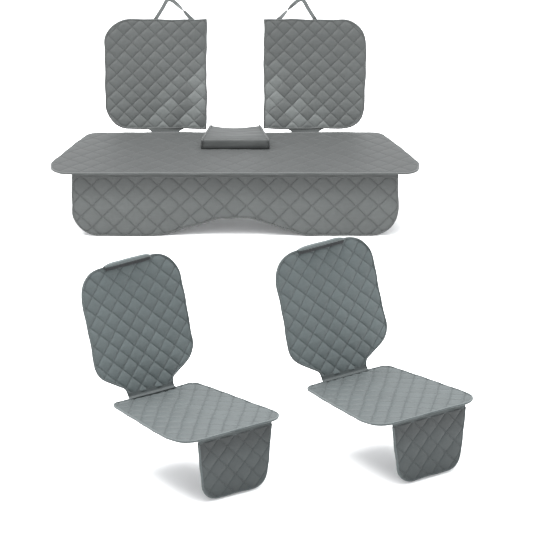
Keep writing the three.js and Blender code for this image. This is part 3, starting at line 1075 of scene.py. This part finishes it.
# ---------------------------------------------------------------- rear backs: tongue and headrest loop
def tuck_tab(side):
    body = f"rear_{side}_back"
    back = PANEL[body]
    low, high = span(back, f"{body}_tuck_tab")
    middle = (low + high) / 2
    v = np.linspace(low[1], high[1] + 7 * MM, 14)
    narrow = 1 - 0.1 * np.clip((low[1] + 12 * MM - v) / (12 * MM), 0, 1) ** 2
    narrow = narrow + 0.42 * np.exp((v - high[1]) / (6 * MM)).clip(max=1)
    path = [spot(back, middle[0], at, middle[2]) for at in v]
    half = (high[0] - low[0]) / 2 * narrow
    tab = cloth_strip(f"{body}_tuck_tongue", path, back.u, half, 2.6 * MM, PLAIN["rear"], 0.9 * MM, 36, 8)
    attach(tab, body, "plain_cloth", f"{body}_tuck_tab")


def headrest_loop(side):
    """Webbing sewn behind the top edge, rising to a folded peak, with one twist in its inner leg."""
    body = f"rear_{side}_back"
    node = f"rear_{side}_headrest_loop"
    back = PANEL[body]
    low, high = span(back, node)
    width = 16 * MM
    outward = 1 if side == "right" else -1
    inner, outer = (low[0], high[0])[::outward]
    inner, outer = inner + outward * width / 2, outer - outward * width / 2
    peak_u = inner + (outer - inner) * 0.635
    foot, peak = low[1], high[1] - width / 2
    middle = (low[2] + high[2]) / 2
    behind = -1.6 * MM
    top = back.high[1]
    outer_leg, inner_leg, rise = peak_u - outer, peak_u - inner, peak - foot
    route = [
        (outer + outward * 2 * MM, top - 16 * MM, behind),
        (outer + outward * 1 * MM, top - 2 * MM, behind + 0.4 * MM),
        (outer + outer_leg * 0.1, foot + 6 * MM, middle),
        (outer + outer_leg * 0.5, foot + rise * 0.52, middle + 0.4 * MM),
        (outer + outer_leg * 0.84, foot + rise * 0.93, middle + 1.4 * MM),
        (inner + inner_leg * 0.97, peak, middle),
        (inner + inner_leg * 0.78, foot + rise * 0.9, middle - 1.4 * MM),
        (inner + inner_leg * 0.42, foot + rise * 0.5, middle),
        (inner + inner_leg * 0.08, foot + 4 * MM, middle),
        (inner - inner_leg * 0.03, top - 2 * MM, behind + 0.4 * MM),
        (inner - inner_leg * 0.05, top - 16 * MM, behind),
    ]
    flat = smooth_path(route, 150)
    centre = spots(back, flat)
    run = unit(np.gradient(flat[:, :2], axis=0))
    in_plane = run[:, 1:] * back.u - run[:, :1] * back.v
    # the half turn that the webbing makes in its inner leg
    share = np.linspace(0, 1, len(flat))
    turning = np.clip((share - 0.55) / 0.36, 0, 1) * 2 - 1
    angle = math.pi * (0.5 + 0.5 * np.sign(turning) * np.abs(turning) ** 0.5)[:, None]
    side_dir = np.cos(angle) * in_plane + np.sin(angle) * back.n
    loop = band(f"rear_{side}_webbing_loop", centre, side_dir, width, 2.0 * MM, WEBBING)
    held, free = spot(back, 0, top, middle), spot(back, 0, foot + 4 * MM, middle)
    bridge(loop, body, f"rear_{side}_loop", held, free, "webbing", node)


# ---------------------------------------------------------------- tuck anchors under the cushions
def anchor(node, panel_name, material):
    """A strip that ends in a rolled-up core, to be pushed through the gap of the seat."""
    panel = PANEL[panel_name]
    low, high = span(panel, node)
    radius = (high[1] - low[1]) / 2
    middle = (low + high) / 2
    turns = np.linspace(0, 2 * math.pi * 1.9, 60)
    spiral = radius - 1.0 * MM - turns / turns[-1] * (radius - 2.6 * MM)
    centre_v, centre_h = middle[1], low[2] + radius
    halfway = (high[2] + centre_h) / 2
    route = [(centre_v, high[2]), (centre_v, high[2] * 0.3), (centre_v + 0.6 * MM, halfway)]
    drop = [(centre_v + 1 * MM, h) for h in np.linspace(halfway, centre_h + radius + 3 * MM, 10)]
    roll = [(centre_v + r * math.sin(a), centre_h + r * math.cos(a)) for a, r in zip(turns, spiral)]
    path = spots(panel, [(middle[0], v, h) for v, h in [*route, *drop, *roll]])
    half = (high[0] - low[0]) / 2
    strip = cloth_strip(f"{node}_roll", path, panel.u, half, 1.5 * MM, material, 0.0, 16, 9)
    attach(strip, panel_name, "plain_cloth", node)


# ---------------------------------------------------------------- the centre flap
class FlapShape:
    """The folded centre flap, read from its CAD node: widths, heights and the sag of its rear."""

    def __init__(self):
        self.low, self.high = (np.array(c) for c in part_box("centre_flap_cover"))
        points, _ = merged_triangles("centre_flap_cover")
        rear = points[points[:, 1] > self.high[1] - 1 * MM]
        self.depth = self.high[1] - self.low[1]
        self.rear_half, self.front_half = rear[:, 0].max(), self.high[0]
        self.rear_top, self.front_top = rear[:, 2].max(), self.high[2]
        self.fold = self.low[2] + 0.42 * (self.rear_top - self.low[2])

    def half(self, d, less_rear, less_front):
        """Half the width at share d of the depth, drawn in a little at the rear and the front."""
        rear, front = self.rear_half - less_rear, self.front_half - less_front
        return rear + (front - rear) * d

    def top(self, d):
        """Height of the upper layer at share d of the depth."""
        return self.rear_top + (self.front_top - self.rear_top) * smoothstep(np.asarray(d) / 0.9)

    def place(self, t, d, z, half):
        """A point at share t of the half width, share d of the depth and unsagged height z."""
        sag = 0.34 * (1 - t**2) * np.clip(1 - d, 0, 1) ** 1.5
        sunk = self.low[2] + (z - self.low[2]) * (1 - sag)
        return np.stack([t * half, self.high[1] - d * self.depth, sunk], axis=-1)


def flap_fold(name, shape, section, less_rear, less_front, wrinkle, material):
    """A cushion-like fold of cloth: a closed section across the flap's depth, swept sideways."""
    ring = smooth_path([*section, section[0]], 120)[:-1]
    middle = ring.mean(axis=0)
    columns = np.sin(np.linspace(-math.pi / 2, math.pi / 2, 84))
    soft = 7 * MM
    rings = []
    for t in columns:
        edge = (1 - abs(t)) * shape.front_half
        corner = 1 - min(edge / soft, 1)
        inset = soft * (1 - math.sqrt(1 - corner**2))
        scale = 1 - inset / (np.ptp(ring, axis=0) * (shape.depth, 1) / 2)
        d, z = ((ring - middle) * scale + middle).T
        points = shape.place(t, d, z, shape.half(d, less_rear, less_front))
        fine = np.array([noise.noise(p) for p in points * (8, 40, 70)])
        broad = np.array([noise.noise(p) for p in points * (15, 11, 20) + (0, 0, 5)])
        run = np.roll(points, -1, axis=0) - np.roll(points, 1, axis=0)
        outward = unit(np.stack([np.zeros(len(run)), run[:, 2], -run[:, 1]], axis=1))
        rings.append(points + outward * (wrinkle * (fine + 0.8 * broad) * (1 - corner))[:, None])
    return swept(name, rings, material)


def centre_flap():
    """A flap folded over on itself: a narrow upper layer that rolls down at the front edge."""
    shape = FlapShape()
    low, fold = shape.low[2], shape.fold
    height = shape.front_top - low
    drops = {0.9: 0.6 * MM, 0.7: 0, 0.4: 0, 0.12: 0, 0.03: 1.2 * MM}
    top = [(d, float(shape.top(d)) - drop) for d, drop in drops.items()]
    roll = [
        (0.94, low + 0.3 * MM),
        (0.985, low + 0.03 * height),
        (1.0, low + 0.13 * height),
        (0.984, low + 0.45 * height),
        (0.962, low + 0.76 * height),
        (0.942, low + 0.95 * height),
        (0.92, low + 0.96 * height),
    ]
    underside = [(0.02, fold + 1.5 * MM), (0.3, fold), (0.65, fold), (0.8, low + 4 * MM)]
    section = [*underside, *roll, *top, (0.0, (fold + shape.rear_top) / 2)]
    upper = flap_fold("flap_upper", shape, section, 3.5 * MM, 1.5 * MM, 1.5 * MM, PLAIN["flap"])
    middle = (low + fold) / 2
    under = [(0.02, low + 2 * MM), (0.1, low), (0.5, low), (0.82, low), (0.9, low + 2 * MM)]
    over = [(d, fold - 0.4 * MM) for d in (0.82, 0.5, 0.1)]
    section = [(0.0, middle), *under, (0.92, middle), (0.9, fold - 1.5 * MM), *over, (0.02, fold - 2 * MM)]
    lower = flap_fold("flap_lower", shape, section, 0.5 * MM, 0.5 * MM, 0.6 * MM, PLAIN["flap"])
    layers = [upper, lower]
    for side in (-1, 1):
        d = np.concatenate([np.linspace(0.04, 0.93, 40), np.full(9, 0.985), [0.95]])
        down = np.linspace(shape.front_top - 4 * MM, low + 9 * MM, 10)
        z = np.concatenate([shape.top(d[:40]) + 0.7 * MM, down])
        inner = shape.half(d, 11 * MM, 9 * MM)
        path = smooth_path(shape.place(np.full(50, side * 1.0), d, z, inner), 80)
        out = np.tile((1.0, 0.0, 0.0), (len(path), 1))
        layers.append(band(f"flap_tape_{side}", path, out, 6.5 * MM, 3.8 * MM, TAPE["flap"]))
    flap = join("centre_flap_folded", layers)
    attach(flap, "centre_flap", "plain_cloth", "centre_flap_cover", "centre_flap_padding")


# ---------------------------------------------------------------- front covers: flap, strap and buckle
def headrest_flap(cover):
    """A padded strip that curls forward over the backrest's top edge, its lower edge piped."""
    back = PANEL[f"{cover}_back"]
    node = f"{cover}_headrest_flap"
    low, high = span(back, node)
    body = 4.6 * MM
    reach = (high[0] - low[0]) / 2
    top, lip = back.high[1], back.high[1] - 1.5 * MM
    middle, front = back.thick / 2, high[2] - body / 2
    crown = high[1] - body / 2

    def curl(name, route, thick, narrow, material):
        path = smooth_path(spots(back, [(back.centre[0], v, h) for h, v in route]), 26)
        share = np.linspace(0, 1, len(path))
        half = (reach - narrow) * (0.95 + 0.05 * smoothstep(share * 3))
        return path, half, cloth_strip(name, path, back.u, half, thick, material, 1.2 * MM, 90, 4)

    over = [
        (-0.6 * MM, top - 9 * MM),
        (-0.4 * MM, top + 1 * MM),
        (middle - 2 * MM, crown - 1.5 * MM),
        (middle + 5 * MM, crown),
        (front - 2.5 * MM, crown - 3 * MM),
        (front, lip),
    ]
    path, half, outer = curl("outer", over, body, 0, PLAIN["front"])
    # under the curl, the flap's underside in dark lining cloth, hung below the lip: a dark sheet as
    # painted shade for the slot beneath it
    under = [
        (front - 3.6 * MM, lip + 4 * MM),
        (front - 3.2 * MM, lip - 3 * MM),
        (front - 4.2 * MM, (lip + low[1]) / 2),
        (front - 5.6 * MM, low[1] + 1 * MM),
    ]
    _, _, inner = curl("inner", under, 2.6 * MM, 4 * MM, LINING)
    edge = path[-1] + np.linspace(-1, 1, 70)[:, None] * (half[-1] - 1 * MM) * back.u
    edge = edge + creases(edge, 0.05, 6)[:, None] * 0.9 * MM * back.n
    piping = band("piping", edge, np.tile(back.v, (len(edge), 1)), 6 * MM, 5 * MM, TAPE["front"])
    flap = join(f"{cover}_curled_flap", [outer, inner, piping])
    # its ends are drawn down and back, onto the backrest
    for vertex in flap.data.vertices:
        point = np.array(vertex.co)
        ends = abs((point @ back.u - back.centre[0]) / half.max()) ** 7
        above = max(point @ back.v - top, 0) * 0.75 * ends
        forward = max(point @ back.n - back.base - back.thick, 0) * 0.5 * ends
        vertex.co = point - above * back.v - forward * back.n
    turn = np.array(JOINTS[f"{cover}_headrest_flap_turn"]["pos_m"])
    held, free = turn - back.v * 3 * MM, turn + back.v * 5 * MM
    bridge(flap, f"{cover}_back", node, held, free, "plain_cloth", node)


def strap_and_buckle(cover):
    """The elastic strap behind a backrest, in two halves, and the buckle that joins them."""
    back, body = PANEL[f"{cover}_back"], f"{cover}_back"
    fixed_low, fixed_high = span(back, f"{cover}_strap_fixed")
    _, free_high = span(back, f"{cover}_strap_free")
    socket_low, socket_high = span(back, f"{cover}_buckle_socket")
    plug_low, plug_high = span(back, f"{cover}_buckle_plug")
    _, v, level = (fixed_low + fixed_high) / 2
    width = fixed_high[1] - fixed_low[1]
    near_lining = -1.0 * MM
    sag = -0.5 * MM

    def strap(name, start, end):
        """From the lining at one side of the backrest to the buckle."""
        quarter, half = start + (end - start) * 0.1, (start + end) / 2
        route = [(start, v, near_lining), (quarter, v, level), (half, v, level + sag), (end, v, level)]
        path = smooth_path(spots(back, route), 60)
        return band(name, path, np.tile(back.v, (len(path), 1)), width, 1.7 * MM, ELASTIC)

    def bar(ends, sides, heights, corner, edge):
        """A moulded bar between two places along the strap, two across it and two heights."""
        outline = rounded_box_outline((ends[0], sides[0]), (ends[1], sides[1]), corner)
        return moulded("bar", back, outline, *heights, edge, PLASTIC)

    fixed = strap(f"{cover}_elastic_fixed", fixed_low[0], socket_low[0] + 3 * MM)
    attach(fixed, body, "webbing", f"{cover}_strap_fixed")
    free = strap(f"{cover}_elastic_free", free_high[0], plug_high[0] - 3 * MM)
    at_plug, at_side = spot(back, plug_high[0], v, level), spot(back, free_high[0] - 20 * MM, v, level)
    bridge(free, f"{cover}_buckle_plug", body, at_plug, at_side, "webbing", f"{cover}_strap_free")

    # the socket: a body with a window on each side, a collar at its mouth and a bar at its tail
    (start, left, under), (end, right, over) = socket_low, socket_high
    wall, lip, step = 5 * MM, 0.3 * MM, 0.8 * MM
    core = bar((start + wall, end), (left + wall, right - wall), (under, over), 2 * MM, 1.4 * MM)
    mouth = bar((end - 9 * MM, end), (left, right), (under - lip, over + lip), 3 * MM, 1.6 * MM)
    tail_sides = (left + 1 * MM, right - 1 * MM)
    tail = bar((start, start + 8 * MM), tail_sides, (under + step, over - step), 3 * MM, 1.2 * MM)
    socket = join(f"{cover}_buckle_body", [core, mouth, tail])
    attach(socket, body, "buckle_plastic", f"{cover}_buckle_socket")

    # the plug: a collar, a bar for the strap, two cheeks and two prongs for the windows
    (start, left, under), (end, right, over) = plug_low, plug_high
    middle = (under + over) / 2
    rod, cheek, prong = ((middle - half, middle + half) for half in (1.8 * MM, 2 * MM, 1.6 * MM))
    between = (start + 4 * MM, end - 2 * MM)
    parts = [
        bar((start, start + 7 * MM), (left, right), (under, over), 2 * MM, 1.4 * MM),
        bar((end - 5 * MM, end), (left, right), rod, 2 * MM, 1.2 * MM),
        bar(between, (left, left + 3.6 * MM), cheek, 1.4 * MM, 1 * MM),
        bar(between, (right - 3.6 * MM, right), cheek, 1.4 * MM, 1 * MM),
    ]
    for edge, inward in ((left, 1), (right, -1)):
        sides = sorted((edge + inward * 1.2 * MM, edge + inward * 4.6 * MM))
        parts.append(bar((start - 21 * MM, start + 2 * MM), sides, prong, 1.2 * MM, 0.9 * MM))
    plug = join(f"{cover}_buckle_prongs", parts)
    attach(plug, f"{cover}_buckle_plug", "buckle_plastic", f"{cover}_buckle_plug")


# ================================================================ camera, floor, light
def put_in(name, data):
    """An object in the scene for a camera's or a light's data."""
    item = bpy.data.objects.new(name, data)
    bpy.context.scene.collection.objects.link(item)
    return item


def camera():
    data = bpy.data.cameras.new("camera")
    data.sensor_width = SENSOR
    data.lens = PIXELS_PER_METRE * VIEW_DISTANCE * SENSOR / FRAME_PIXELS
    data.clip_start = 0.1
    data.clip_end = 400.0
    item = put_in("camera", data)
    back = Vector((0, -math.cos(VIEW_ELEVATION), math.sin(VIEW_ELEVATION)))
    item.location = VIEW_TARGET + VIEW_DISTANCE * back
    item.rotation_euler = (math.pi / 2 - VIEW_ELEVATION, 0, 0)
    bpy.context.scene.camera = item


def floor():
    level = CAD_BOX[0][2] - FLOOR_DROP
    corners = ((-1, -1), (1, -1), (1, 1), (-1, 1))
    verts = [(x * FLOOR_HALF, y * FLOOR_HALF, level) for x, y in corners]
    g = Graph("floor_paper")
    speck = g.noise(3.0, 2.0)
    base = g.mix(speck, (0.84, 0.84, 0.84), (0.87, 0.87, 0.87))
    material = g.finish(base, g.spread(speck, 0.85, 0.95), g.bumps((speck, 0.2 * MM, 0.1)))
    piece = make_piece("floor", verts, [(0, 1, 2, 3)], material, smooth=False)


def area_light(name, place, target, size, power):
    data = bpy.data.lights.new(name, "AREA")
    data.shape = "DISK"
    data.size = size
    data.energy = power
    item = put_in(name, data)
    item.location = place
    item.rotation_euler = (Vector(target) - Vector(place)).to_track_quat("-Z", "Y").to_euler()


def studio():
    world = bpy.data.worlds.new("studio")
    bpy.context.scene.world = world
    world.use_nodes = True
    tree = world.node_tree
    sky = tree.nodes["Background"]
    direction = tree.nodes.new("ShaderNodeTexCoord").outputs["Generated"]
    split = tree.nodes.new("ShaderNodeSeparateXYZ")
    tree.links.new(direction, split.inputs[0])
    overhead = tree.nodes.new("ShaderNodeMapRange")
    for key, value in (("From Min", 0.0), ("From Max", 1.0), ("To Min", 0.85), ("To Max", 2.8)):
        overhead.inputs[key].default_value = value
    tree.links.new(split.outputs["Z"], overhead.inputs["Value"])
    tree.links.new(overhead.outputs["Result"], sky.inputs["Strength"])
    sky.inputs["Color"].default_value = (0.97, 0.985, 1.0, 1.0)
    area_light("key", (-2.6, -2.4, 7.4), (0.0, -1.2, 0.0), 5.0, 960)
    area_light("top", (0.9, 0.2, 7.0), (0.0, -1.2, 0.0), 5.0, 660)
    bpy.context.scene.view_settings.view_transform = "Standard"


camera()
floor()
studio()

PANEL = {name: build_panel(name) for name in PANELS}

skirt_fold("bench", "bench", "bench_skirt", "bench_skirt_fold")
centre_flap()
for side in ("left", "right"):
    tuck_tab(side)
    headrest_loop(side)
    anchor(f"bench_anchor_{side}", "bench", PLAIN["rear"])
for cover in COVERS:
    skirt_fold(cover, f"{cover}_cushion", f"{cover}_skirt", f"{cover}_skirt_fold")
    neck(cover)
    headrest_flap(cover)
    strap_and_buckle(cover)
    anchor(f"{cover}_tuck_anchor", f"{cover}_cushion", PLAIN["front"])
